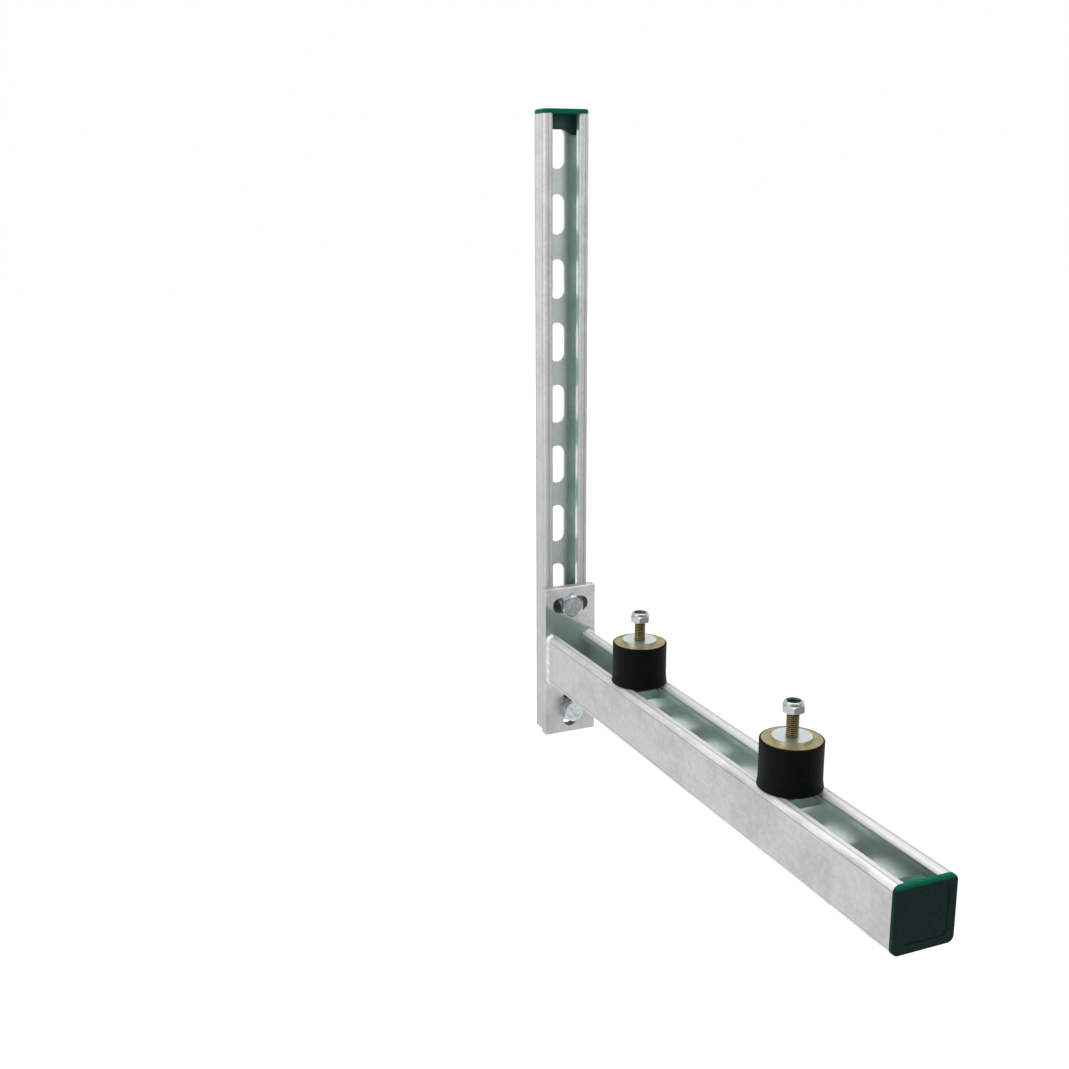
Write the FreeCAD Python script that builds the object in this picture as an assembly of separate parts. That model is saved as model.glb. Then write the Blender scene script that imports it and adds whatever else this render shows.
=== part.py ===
import FreeCAD, Part
import math
import os

# Wall bracket for an outdoor unit: a slotted wall rail, and an arm that carries two rubber mounts.
# Millimetres. +Z is up. The wall is the plane y = 0 and the arm runs towards -Y.
# The origin is the centre of the rail's back face.

# Channel sections of the rail and the arm
sheet_t = 2.5
bend_r = 3.4
lip_return = 6.5
rail_w = 38.5
rail_depth = 21.0
rail_flange_w = 8.25
arm_w = 41.0
arm_height = 41.0
arm_flange_w = 9.5

# Lengths
rail_len = 500.0
arm_len = 450.0

# Slots in the channels' backs
slot_w = 13.5
slot_len = 31.0
slot_pitch = 50.0
slot_end_gap = 25.0

# Mounting plate, welded to the arm
plate_w = 45.0
plate_h = 127.0
plate_t = 8.0
plate_edge_r = 0.6
plate_slot_w = 13.0
plate_slot_len = 31.5
upper_slot_below_top = 15.0
lower_slot_above_bottom = 21.0
arm_top_above_bottom = 87.0

# Weld beads down both sides of the arm
weld_on_plate = 1.9
weld_on_arm = 4.0
weld_bulge = 0.35
weld_run_on_bottom = 6.0

# Plate bolts
m10_r = 5.0
m10_head_af = 17.0
m10_head_h = 6.4
m10_bolt_len = 25.0
m10_washer_r = 10.0
m10_washer_t = 2.0
m10_washer_hole_r = 5.25
upper_head_turn = 23.0
lower_head_turn = 30.0
head_chamfer = 0.9
tip_chamfer = 1.0

# Channel nuts
nut_short = 19.5
nut_turn_r = 9.0
nut_groove_depth = 1.5
m10_nut_t = 8.0
m8_nut_t = 7.0

# Rubber mounts
rear_mount_from_wall = 152.0
mount_spacing = 200.0
rubber_r = 20.0
rubber_h = 31.0
rubber_foot_r = 20.6
rubber_foot_h = 3.5
rubber_edge_r = 0.8
disc_r = 18.8
disc_t = 2.0
m8_r = 4.0
stud_head_r = 6.5
stud_head_t = 2.5
upper_stud_len = 21.8
lower_stud_len = 15.0
m8_washer_r = 12.5
m8_washer_t = 2.0
m8_washer_hole_r = 4.2
rear_nut_above_washer = 13.8
front_nut_above_washer = 15.6

# Lock nuts, with a domed collar over a nylon ring
lock_nut_af = 13.0
lock_nut_hex_h = 4.7
lock_nut_h = 7.0
collar_r = 6.1
collar_top_r = 5.2
collar_side_h = 1.1
collar_dome = 0.25
ring_r = 4.9
ring_h = 1.9
ring_base = 4.4
crimp_hole_r = 4.6

# Plastic caps
cap_plug_wall = 2.0
cap_plug_corner_r = 1.0
arm_cap_over = 0.2
arm_cap_t = 3.0
arm_cap_corner_r = 4.5
arm_cap_plug = 15.0
arm_cap_edge_r = 1.0
panel_border = 5.6
panel_depth = 0.4
panel_corner_r = 4.0
rail_cap_t = 3.6
rail_cap_corner_r = 4.0
rail_cap_edge_r = 1.7
rail_cap_leg = 15.0
rail_cap_leg_w = 3.0
rail_cap_middle = 11.0
notch_top_w = 10.6
notch_bottom_w = 22.8

# Clearances
thread_gap = 0.05
groove_gap = 0.2
plug_gap = 0.25
nut_end_gap = 0.5

# Cutters run this far past the faces that they cut, and faces are matched this closely
cut_over = 1.0
match = 1e-4

# Derived positions
rail_bottom_z = -rail_len / 2.0
rail_top_z = rail_len / 2.0
plate_back_y = -rail_depth
plate_front_y = plate_back_y - plate_t
arm_end_y = plate_front_y - arm_len
arm_top_z = rail_bottom_z + arm_top_above_bottom
arm_bottom_z = arm_top_z - arm_height
upper_bolt_z = rail_bottom_z + plate_h - upper_slot_below_top
lower_bolt_z = rail_bottom_z + lower_slot_above_bottom
disc_top_z = arm_top_z + rubber_h
washer_top_z = disc_top_z + m8_washer_t
rail_half_w = rail_w / 2.0
arm_half_w = arm_w / 2.0
rail_half_mouth = rail_half_w - rail_flange_w
arm_half_mouth = arm_half_w - arm_flange_w

UP = FreeCAD.Vector(0, 0, 1)
OUT = FreeCAD.Vector(0, -1, 0)
ACROSS = FreeCAD.Vector(1, 0, 0)
ORIGIN = FreeCAD.Vector(0, 0, 0)


def vec(x, y, z):
    return FreeCAD.Vector(x, y, z)


def rounded_wire(corners, place):
    """Closed outline through (u, v, radius) corners; place turns (u, v) into a point."""
    flat = [vec(u, v, 0) for u, v, r in corners]
    count = len(corners)
    starts = []
    ends = []
    mids = []
    for i in range(count):
        radius = corners[i][2]
        here = flat[i]
        back = (flat[i - 1] - here).normalize()
        ahead = (flat[(i + 1) % count] - here).normalize()
        half = back.getAngle(ahead) / 2.0
        reach = radius / math.tan(half)
        bisector = (back + ahead).normalize()
        starts.append(here + back * reach)
        ends.append(here + ahead * reach)
        mids.append(here + bisector * (radius / math.sin(half) - radius))
    edges = []
    for i in range(count):
        if corners[i][2] > 0:
            arc = Part.Arc(place(starts[i]), place(mids[i]), place(ends[i]))
            edges.append(arc.toShape())
        after = starts[(i + 1) % count]
        if (after - ends[i]).Length > match:
            edges.append(Part.makeLine(place(ends[i]), place(after)))
    return Part.Wire(edges)


def rounded_prism(corners, place, along):
    return Part.Face(rounded_wire(corners, place)).extrude(along)


def rounded_box(u0, u1, v0, v1, radius, place, along):
    corners = [(u0, v0, radius), (u1, v0, radius), (u1, v1, radius), (u0, v1, radius)]
    return rounded_prism(corners, place, along)


def channel_corners(half_w, depth, half_mouth):
    """C section with returned lips: back on v = 0, mouth at v = depth."""
    inner_r = bend_r - sheet_t
    tip_v = depth - lip_return
    under_v = depth - sheet_t
    wall_u = half_w - sheet_t
    tip_u = half_mouth + sheet_t
    right = [
        (half_w, 0, bend_r),
        (half_w, depth, bend_r),
        (half_mouth, depth, bend_r),
        (half_mouth, tip_v, 0),
        (tip_u, tip_v, 0),
        (tip_u, under_v, inner_r),
        (wall_u, under_v, inner_r),
        (wall_u, sheet_t, inner_r),
    ]
    left = [(-u, v, r) for u, v, r in reversed(right)]
    return right + left


def slot_cutter(centre, along, through, width, length, depth):
    """Round-ended slot body: along is its long direction, through its depth direction."""
    radius = width / 2.0
    reach = along * (length / 2.0 - radius)
    side = along.cross(through) * radius
    first = Part.makeCylinder(radius, depth, centre - reach, through)
    last = Part.makeCylinder(radius, depth, centre + reach, through)
    corners = [centre - reach - side, centre + reach - side, centre + reach + side, centre - reach + side]
    middle = Part.Face(Part.makePolygon(corners + corners[:1])).extrude(through * depth)
    return middle.fuse([first, last]).removeSplitter()


def slot_row(length):
    """Distances of the slot centres from one end of a channel."""
    count = 1 + round((length - 2 * slot_end_gap) / slot_pitch)
    return [slot_end_gap + i * slot_pitch for i in range(count)]


def slotted_channel(section, length, end, along, to_mouth, place):
    """Channel from the point end, on the middle of its back, with a row of slots in the back."""
    body = rounded_prism(section, place, along * length)
    cutters = []
    for distance in slot_row(length):
        centre = end + along * distance - to_mouth * cut_over
        cutters.append(slot_cutter(centre, along, to_mouth, slot_w, slot_len, sheet_t + 2 * cut_over))
    return body.cut(cutters)


def wall_rail():
    place = lambda p: vec(p.x, -p.y, rail_bottom_z)
    end = vec(0, 0, rail_bottom_z)
    section = channel_corners(rail_half_w, rail_depth, rail_half_mouth)
    return slotted_channel(section, rail_len, end, UP, OUT, place)


def arm_channel():
    place = lambda p: vec(p.x, plate_front_y, arm_bottom_z + p.y)
    end = vec(0, plate_front_y, arm_bottom_z)
    section = channel_corners(arm_half_w, arm_height, arm_half_mouth)
    return slotted_channel(section, arm_len, end, OUT, UP, place)


def mounting_plate():
    body = Part.makeBox(plate_w, plate_t, plate_h, vec(-plate_w / 2.0, plate_front_y, rail_bottom_z))
    body = body.makeFillet(plate_edge_r, body.Edges)
    depth = plate_t + 2 * cut_over
    upper = vec(0, plate_back_y + cut_over, upper_bolt_z)
    lower = vec(0, plate_back_y + cut_over, lower_bolt_z)
    upper_cut = slot_cutter(upper, ACROSS, OUT, plate_slot_w, plate_slot_len, depth)
    lower_cut = slot_cutter(lower, UP, OUT, plate_slot_w, plate_slot_len, depth)
    return body.cut([upper_cut, lower_cut])


def weld_bead(side):
    """Fillet bead from the lip's top, down one side and round onto the arm's bottom."""
    turn = arm_half_w - bend_r
    lip_start = arm_half_mouth + bend_r
    bottom_end = turn - weld_run_on_bottom
    tilt = bend_r * math.sqrt(0.5)
    top_c = arm_top_z - bend_r
    low_c = arm_bottom_z + bend_r

    def at(x, z):
        return vec(side * x, plate_front_y, z)

    top_line = Part.makeLine(at(lip_start, arm_top_z), at(turn, arm_top_z))
    top_arc = Part.Arc(at(turn, arm_top_z), at(turn + tilt, top_c + tilt), at(arm_half_w, top_c)).toShape()
    side_line = Part.makeLine(at(arm_half_w, top_c), at(arm_half_w, low_c))
    low_arc = Part.Arc(at(arm_half_w, low_c), at(turn + tilt, low_c - tilt), at(turn, arm_bottom_z)).toShape()
    low_line = Part.makeLine(at(turn, arm_bottom_z), at(bottom_end, arm_bottom_z))
    path = Part.Wire([top_line, top_arc, side_line, low_arc, low_line])
    root = at(lip_start, arm_top_z)
    high = root + UP * weld_on_plate
    ahead = root + OUT * weld_on_arm
    crown = (high + ahead) * 0.5 + (UP + OUT) * weld_bulge
    face = Part.Arc(high, crown, ahead).toShape()
    profile = Part.Wire([Part.makeLine(root, high), face, Part.makeLine(ahead, root)])
    return path.makePipeShell([profile], True, True)


def hex_prism(across_flats, height, chamfer, chamfer_low, turn):
    """Hexagon on z = 0 with its corners turned off at the top, and below where asked."""
    corner_r = across_flats / math.sqrt(3.0)
    points = []
    for i in range(7):
        angle = math.radians(turn + 60.0 * i)
        points.append(vec(corner_r * math.cos(angle), corner_r * math.sin(angle), 0))
    body = Part.Face(Part.makePolygon(points)).extrude(UP * height)
    flat_r = across_flats / 2.0
    spread = flat_r + chamfer * math.sqrt(3.0)
    outline = [ORIGIN]
    if chamfer_low:
        outline += [vec(flat_r, 0, 0), vec(spread, 0, chamfer)]
    else:
        outline += [vec(spread, 0, 0)]
    outline += [vec(spread, 0, height - chamfer), vec(flat_r, 0, height), vec(0, 0, height), ORIGIN]
    turned = Part.Face(Part.makePolygon(outline)).revolve(ORIGIN, UP, 360)
    return body.common(turned)


def tipped_rod(radius, length):
    """Rod on z = 0 with a chamfered far end."""
    straight = Part.makeCylinder(radius, length - tip_chamfer)
    tip = Part.makeCone(radius, radius - tip_chamfer, tip_chamfer, vec(0, 0, length - tip_chamfer))
    return straight.fuse(tip).removeSplitter()


def plate_bolt(head_back_y, z, turn):
    head = hex_prism(m10_head_af, m10_head_h, head_chamfer, False, turn)
    head.rotate(ORIGIN, ACROSS, 90)
    shank = tipped_rod(m10_r, m10_bolt_len)
    shank.rotate(ORIGIN, ACROSS, -90)
    bolt = head.fuse(shank).removeSplitter()
    bolt.translate(vec(0, head_back_y, z))
    return bolt


def flat_ring(outer_r, inner_r, height):
    return Part.makeCylinder(outer_r, height).cut(Part.makeCylinder(inner_r, height))


def plate_washer():
    ring = flat_ring(m10_washer_r, m10_washer_hole_r, m10_washer_t)
    ring.rotate(ORIGIN, ACROSS, 90)
    ring.translate(vec(0, plate_front_y, lower_bolt_z))
    return ring


def channel_nut(half_w, half_mouth, thickness, hole_r):
    """Nut with its grooved face up on z = 0, long side across the channel."""
    reach = half_w - sheet_t - nut_end_gap
    body = Part.makeBox(2 * reach, nut_short, thickness, vec(-reach, -nut_short / 2.0, -thickness))
    turned = []
    for edge in body.Edges:
        middle = edge.CenterOfMass
        upright = edge.BoundBox.ZLength > thickness - match
        if upright and middle.x * middle.y > 0:
            turned.append(edge)
    body = body.makeFillet(nut_turn_r, turned)
    groove_w = sheet_t + 2 * groove_gap
    groove_l = nut_short + 2 * cut_over
    for side in (-1, 1):
        low_x = side * (half_mouth + sheet_t / 2.0) - groove_w / 2.0
        corner = vec(low_x, -groove_l / 2.0, -nut_groove_depth)
        body = body.cut(Part.makeBox(groove_w, groove_l, nut_groove_depth + cut_over, corner))
    return body.cut(Part.makeCylinder(hole_r, thickness, vec(0, 0, -thickness)))


def rail_nut(z):
    nut = channel_nut(rail_half_w, rail_half_mouth, m10_nut_t, m10_r + thread_gap)
    nut.rotate(ORIGIN, ACROSS, 90)
    nut.translate(vec(0, plate_back_y + lip_return - nut_groove_depth, z))
    return nut


def rubber_body():
    """Rubber cylinder with a foot bead and a pocket for the disc and stud head at each end."""
    body = Part.makeCylinder(rubber_r, rubber_h)
    body = body.makeFillet(rubber_edge_r, [e for e in body.Edges if e.Closed])
    foot = Part.makeCylinder(rubber_foot_r, rubber_foot_h)
    foot = foot.makeFillet(rubber_edge_r, [e for e in foot.Edges if e.Closed])
    body = body.fuse(foot).removeSplitter()
    pockets = []
    for start, way in ((0, UP), (rubber_h, UP * -1)):
        mouth = vec(0, 0, start)
        pockets.append(Part.makeCylinder(disc_r, disc_t, mouth, way))
        pockets.append(Part.makeCylinder(stud_head_r, disc_t + stud_head_t, mouth, way))
    return body.cut(pockets)


def stud(length):
    """Stud standing on z = 0 at its disc's outer face, with a flat head behind the disc."""
    head = Part.makeCylinder(stud_head_r, stud_head_t, vec(0, 0, -disc_t - stud_head_t))
    neck = Part.makeCylinder(m8_r, disc_t, vec(0, 0, -disc_t))
    return tipped_rod(m8_r, length).fuse([head, neck]).removeSplitter()


def lock_nut():
    """Hexagon with a domed collar that holds the nylon ring."""
    chamfer = (lock_nut_af / math.sqrt(3.0) - lock_nut_af / 2.0) / math.sqrt(3.0)
    body = hex_prism(lock_nut_af, lock_nut_hex_h, chamfer, True, 0)
    root_z = lock_nut_hex_h - chamfer
    side_z = lock_nut_hex_h + collar_side_h
    side = vec(collar_r, 0, side_z)
    end = vec(collar_top_r, 0, lock_nut_h)
    crown = (side + end) * 0.5 + vec(collar_dome, 0, collar_dome)
    root = vec(collar_r, 0, root_z)
    straight = Part.makePolygon([end, vec(0, 0, lock_nut_h), vec(0, 0, root_z), root, side])
    outline = Part.Wire(straight.Edges + [Part.Arc(side, crown, end).toShape()])
    collar = Part.Face(outline).revolve(ORIGIN, UP, 360)
    bore = Part.makeCylinder(m8_r + thread_gap, lock_nut_h)
    seat = Part.makeCylinder(ring_r, ring_h, vec(0, 0, ring_base))
    crimp = Part.makeCylinder(crimp_hole_r, lock_nut_h - ring_base, vec(0, 0, ring_base))
    return body.fuse(collar).cut([bore, seat, crimp])


def mount_parts(prefix, y, nut_above_washer):
    """The pieces of one rubber mount on the arm, by node name."""
    pieces = {}
    lock_nut_z = washer_top_z + nut_above_washer

    def put(name, shape, z):
        shape.translate(vec(0, y, z))
        pieces[prefix + "_" + name] = shape

    low_stud = stud(lower_stud_len)
    low_stud.rotate(ORIGIN, ACROSS, 180)
    put("rubber", rubber_body(), arm_top_z)
    put("top_disc", flat_ring(disc_r, m8_r, disc_t), disc_top_z - disc_t)
    put("top_stud", stud(upper_stud_len), disc_top_z)
    put("bottom_disc", flat_ring(disc_r, m8_r, disc_t), arm_top_z)
    put("bottom_stud", low_stud, arm_top_z)
    put("washer", flat_ring(m8_washer_r, m8_washer_hole_r, m8_washer_t), disc_top_z)
    put("lock_nut", lock_nut(), lock_nut_z)
    put("nylon_ring", flat_ring(ring_r, m8_r + thread_gap, ring_h), lock_nut_z + ring_base)
    nut = channel_nut(arm_half_w, arm_half_mouth, m8_nut_t, m8_r + thread_gap)
    put("channel_nut", nut, arm_top_z - lip_return + nut_groove_depth)
    return pieces


def arm_end_cap():
    """Square cap on the arm's free end, with a hollow plug inside the channel."""
    outer = arm_half_w + arm_cap_over
    low_z = arm_bottom_z - arm_cap_over
    high_z = arm_top_z + arm_cap_over
    at_end = lambda p: vec(p.x, arm_end_y, p.y)
    head = rounded_box(-outer, outer, low_z, high_z, arm_cap_corner_r, at_end, OUT * arm_cap_t)
    front_y = arm_end_y - arm_cap_t
    rim = [e for e in head.Edges if e.BoundBox.YMax < front_y + match]
    head = head.makeFillet(arm_cap_edge_r, rim)
    panel_at = lambda p: vec(p.x, front_y + panel_depth, p.y)
    inset = outer - panel_border
    low_panel = low_z + panel_border
    high_panel = high_z - panel_border
    panel = rounded_box(-inset, inset, low_panel, high_panel, panel_corner_r, panel_at, OUT)
    head = head.cut(panel)
    half = arm_half_w - sheet_t - plug_gap
    low_plug = arm_bottom_z + sheet_t + plug_gap
    high_plug = arm_top_z - lip_return - plug_gap
    back = OUT * -arm_cap_plug
    plug = rounded_box(-half, half, low_plug, high_plug, cap_plug_corner_r, at_end, back)
    half -= cap_plug_wall
    low_plug += cap_plug_wall
    high_plug -= cap_plug_wall
    hollow = rounded_box(-half, half, low_plug, high_plug, cap_plug_corner_r, at_end, back)
    return head.fuse(plug.cut(hollow)).removeSplitter()


def rail_top_cap():
    """Cap on the rail's top end: a notched wall against the channel's back and a leg at each side wall."""
    at_top = lambda p: vec(p.x, p.y, rail_top_z)
    head = rounded_box(
        -rail_half_w, rail_half_w, plate_back_y, 0, rail_cap_corner_r, at_top, UP * rail_cap_t)
    top_z = rail_top_z + rail_cap_t
    rim = [e for e in head.Edges if e.BoundBox.ZMin > top_z - match]
    head = head.makeFillet(rail_cap_edge_r, rim)
    back_y = -sheet_t - plug_gap
    tips_y = plate_back_y + lip_return + plug_gap
    outer = rail_half_w - sheet_t - plug_gap
    inner = outer - rail_cap_leg_w
    solids = []
    for side in (-1, 1):
        low_u = min(side * outer, side * inner)
        high_u = low_u + rail_cap_leg_w
        leg = rounded_box(low_u, high_u, tips_y, back_y, cap_plug_corner_r, at_top, UP * -rail_cap_leg)
        solids.append(leg)
    half = outer - rail_cap_leg_w / 2.0
    low_z = rail_top_z - rail_cap_leg
    notch_z = rail_top_z - rail_cap_middle
    outline = [
        vec(-half, back_y, rail_top_z),
        vec(-half, back_y, low_z),
        vec(-notch_bottom_w / 2.0, back_y, low_z),
        vec(-notch_top_w / 2.0, back_y, notch_z),
        vec(notch_top_w / 2.0, back_y, notch_z),
        vec(notch_bottom_w / 2.0, back_y, low_z),
        vec(half, back_y, low_z),
        vec(half, back_y, rail_top_z),
    ]
    wall = Part.Face(Part.makePolygon(outline + outline[:1])).extrude(OUT * cap_plug_wall)
    return head.fuse(solids + [wall]).removeSplitter()


def build():
    nodes = {
        "wall_rail": wall_rail(),
        "rail_top_cap": rail_top_cap(),
        "mounting_plate": mounting_plate(),
        "arm_channel": arm_channel(),
        "weld_left": weld_bead(-1),
        "weld_right": weld_bead(1),
        "arm_end_cap": arm_end_cap(),
        "upper_bolt": plate_bolt(plate_front_y, upper_bolt_z, upper_head_turn),
        "lower_bolt": plate_bolt(plate_front_y - m10_washer_t, lower_bolt_z, lower_head_turn),
        "lower_washer": plate_washer(),
        "upper_channel_nut": rail_nut(upper_bolt_z),
        "lower_channel_nut": rail_nut(lower_bolt_z),
    }
    rear_y = -rear_mount_from_wall
    nodes.update(mount_parts("rear", rear_y, rear_nut_above_washer))
    nodes.update(mount_parts("front", rear_y - mount_spacing, front_nut_above_washer))
    return nodes


os.makedirs("parts", exist_ok=True)
for node, shape in build().items():
    shape.exportStep("parts/" + node + ".step")
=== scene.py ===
import math

import bmesh
import bpy
from bpy.props import FloatProperty, FloatVectorProperty, PointerProperty
from mathutils import Matrix, Vector, noise


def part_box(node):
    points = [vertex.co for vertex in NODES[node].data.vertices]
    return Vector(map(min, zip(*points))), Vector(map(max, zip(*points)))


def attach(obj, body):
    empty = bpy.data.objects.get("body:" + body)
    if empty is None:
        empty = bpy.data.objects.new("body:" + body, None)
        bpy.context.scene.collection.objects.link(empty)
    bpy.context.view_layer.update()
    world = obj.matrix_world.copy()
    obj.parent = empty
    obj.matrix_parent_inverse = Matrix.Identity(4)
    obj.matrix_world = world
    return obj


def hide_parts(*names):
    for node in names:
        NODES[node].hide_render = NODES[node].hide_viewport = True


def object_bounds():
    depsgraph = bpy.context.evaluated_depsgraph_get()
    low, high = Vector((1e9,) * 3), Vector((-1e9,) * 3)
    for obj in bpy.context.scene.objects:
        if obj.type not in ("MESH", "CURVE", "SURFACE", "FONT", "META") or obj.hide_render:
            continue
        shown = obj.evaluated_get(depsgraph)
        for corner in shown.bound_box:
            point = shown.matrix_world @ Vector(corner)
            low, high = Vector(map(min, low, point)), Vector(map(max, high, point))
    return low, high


bl_info = {
    "name": "Outdoor Unit Wall Bracket",
    "version": (1, 0, 0),
    "blender": (4, 5, 0),
    "location": "3D View > Sidebar > Bracket",
    "description": "Finishes and fine detail of a slotted wall bracket with two rubber mounts",
    "category": "Object",
}

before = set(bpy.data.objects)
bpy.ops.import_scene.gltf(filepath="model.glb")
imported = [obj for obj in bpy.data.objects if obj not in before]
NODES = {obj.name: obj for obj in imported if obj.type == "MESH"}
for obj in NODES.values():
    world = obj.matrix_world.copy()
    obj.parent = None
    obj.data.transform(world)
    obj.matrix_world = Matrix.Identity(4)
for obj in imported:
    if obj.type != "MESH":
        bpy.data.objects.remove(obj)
CAD_BOX = [list(corner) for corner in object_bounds()]
MM = 0.001
FOOT = CAD_BOX[0][2]
SIDES = ("rear", "front")
UP = Vector((0, 0, 1))
OUT = Vector((0, -1, 0))
ACROSS = Vector((1, 0, 0))

# Edges that turn more than this stay sharp
SHARP_ANGLE = math.radians(32)

# Segments round a thread and rings to a pitch, and its depth, crest and two flanks as shares of the pitch
THREAD_SEGMENTS = 48
THREAD_RINGS = 8
THREAD_DEPTH = 0.61
THREAD_CREST = 0.2
THREAD_FLANKS = 0.62

# Mesh attribute that tells how deep a point lies in a thread
ROOT = "thread_root"

# Depths below a channel's outer faces: where its inside starts, its bends, their crests, which get a
# painted highlight, and the painted shade lines beside the bends
INSIDE_FROM = 2.1 * MM
BEND_FROM = 5.5 * MM
BEND_FULL = 2.4 * MM
CREST_FROM = 2.6 * MM
CREST_FULL = 0.9 * MM
BEND_SHADE_AT = 3.7 * MM

# Half width of a painted shade line's dark core and of the whole line, and the depths between which the
# outer skin ends
BEND_SHADE_CORE = 0.25 * MM
BEND_SHADE_HALF = 0.8 * MM
SKIN_FULL = 0.1 * MM
SKIN_NONE = 0.3 * MM

# Half width of the soft edge between a channel's outside and inside
BLUR = 0.3 * MM

# Places along the arm where its bright runs, part thick zinc and part painted highlight, are at full
# strength and at their weakest
RUNS_FULL = -420 * MM
RUNS_WEAK = -80 * MM

# Places along the arm between which the shade near the cap fades out inside it
SHADE_FULL = -470 * MM
SHADE_NONE = -400 * MM

# Heights above the bracket's foot between which the rail greys
GREY_FULL = 10 * MM
GREY_NONE = 450 * MM

# Heights from the arm's underside between which the plate turns from grey to clear
PLATE_GREY = -30 * MM
PLATE_CLEAR = 5 * MM

# Heights from the arm's top between which the painted reflection of the arm's dark inside fades out on the
# plate
REFLECTION_FULL = 11 * MM
REFLECTION_NONE = 15 * MM

# Stretch of the draw marks along a channel, as a factor on the pattern's coordinate
DRAW_STRETCH = 0.04

# Colours of the bright runs on a bend, part thick zinc and part painted highlight, of bright spots on thick
# zinc and of the painted shade in a thread's roots
RUN_HIGHLIGHT_TINT = (0.93, 0.915, 0.92)
SPOT_TINT = (0.90, 0.90, 0.88)
THREAD_SHADE_TINT = (0.030, 0.022, 0.012)

# Places of the two colours and of their mixture among the sockets of a mix node
MIX_FIRST = 6
MIX_SECOND = 7
MIX_RESULT = 2

# Width of the camera's frame, in millimetres
CAMERA_FRAME = 36


def colour(name, description, default):
    return FloatVectorProperty(
        name=name, description=description, subtype="COLOR", size=3, min=0.0, max=1.0, default=default)


def share(name, description, default):
    return FloatProperty(
        name=name, description=description, subtype="FACTOR", min=0.0, max=1.0, default=default)


def length(name, description, default, low, high):
    return FloatProperty(
        name=name, description=description, subtype="DISTANCE", unit="LENGTH",
        min=low, max=high, default=default, precision=5)


def angle(name, description, default):
    return FloatProperty(
        name=name, description=description, subtype="ANGLE", unit="ROTATION",
        min=-math.pi, max=math.pi, default=default)


def power(name, description, default):
    return FloatProperty(name=name, description=description, min=0, default=default)


# Sizes and colours

class SteelSettings(bpy.types.PropertyGroup):
    bright: colour("Bright zinc", "Colour of clean zinc on the channels", (0.78, 0.775, 0.765))
    dull: colour("Dull zinc", "Colour of the weathered patches", (0.47, 0.48, 0.47))
    # The inside colours are painted shade and light: the same zinc with the teal tint of the shade inside a
    # channel, the rail's brightened to make up for the light that its inside lacks
    arm_inner: colour("Arm inside", "Colour of the arm's inner walls", (0.67, 0.79, 0.76))
    rail_inner: colour("Rail inside", "Colour of the rail's inner walls", (0.84, 0.97, 0.94))
    plate: colour("Plate zinc", "Colour of the thicker zinc on the plate", (0.90, 0.91, 0.89))
    # The plate film colour is a painted reflection of the arm's dark inside, mirrored in the plate above
    # the arm
    film: colour("Plate film", "Colour of the dull film on the plate above the arm", (0.205, 0.315, 0.29))
    reflection_slope: FloatProperty(
        name="Film slope", description="Slope of the film's upper edge across the plate", default=0.57)
    grain: length("Zinc grain", "Width of one zinc crystal", 0.004, 0.001, 0.05)
    roughness: share("Roughness", "Roughness of the channels", 0.46)
    rail_level: FloatProperty(
        name="Rail level", description="Brightness of the rail's outside", min=0, default=1.20)
    arm_level: FloatProperty(
        name="Arm level", description="Brightness of the arm's outside", min=0, default=0.92)
    rail_foot: share("Rail foot", "How far the rail greys towards its foot", 0.66)
    # The arm's bright runs are part thick zinc and part painted highlight
    arm_glare: share("Arm glare", "Strength of the bright runs on the arm's bends", 1.0)
    # The inner band is painted light down the middle of each inside
    inner_light_band: length(
        "Inner band", "Width of the brighter band down the inside of a channel", 0.018, 0.0, 0.04)


class WeldSettings(bpy.types.PropertyGroup):
    on_plate: length("Reach on plate", "How far the bead climbs the plate", 0.0018, 0.0005, 0.004)
    on_arm: length("Reach on arm", "How far the bead runs out along the arm", 0.004, 0.001, 0.008)
    ripple: length("Ripple", "Distance between two ripples", 0.0021, 0.0005, 0.01)
    tint: colour("Bead colour", "Colour of the zinc on the bead", (0.80, 0.80, 0.79))


class CapSettings(bpy.types.PropertyGroup):
    # The rim green is a painted highlight where light from above falls on the caps' upper edges and the top
    # cap's head; the plug greens are painted light that brightens the plugs in the shade inside the rail
    # and the arm
    rim: colour("Rim green", "Colour of the caps' thin rims", (0.002, 0.155, 0.080))
    top_plug: colour("Top plug green", "Colour of the walls inside the rail", (0.050, 0.125, 0.115))
    end_plug: colour("End plug green", "Colour of the walls inside the arm", (0.085, 0.2125, 0.1955))
    body: colour("Body green", "Colour of the caps' thick parts", (0.0075, 0.022, 0.020))


class BoltSettings(bpy.types.PropertyGroup):
    tint: colour("Bolt zinc", "Colour of the zinc plating", (0.50, 0.555, 0.56))
    across_flats: length("Across flats", "Width of a head across its flats", 0.017, 0.01, 0.03)
    head: length("Head height", "Height of a bolt head", 0.0064, 0.003, 0.02)
    radius: length("Thread radius", "Outer radius of the bolt thread", 0.005, 0.002, 0.01)
    pitch: length("Thread pitch", "Pitch of the bolt thread", 0.0015, 0.0005, 0.004)
    upper_turn: angle("Upper head turn", "Turn of the upper head's corners", math.radians(23))
    lower_turn: angle("Lower head turn", "Turn of the lower head's corners", math.radians(30))


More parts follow.
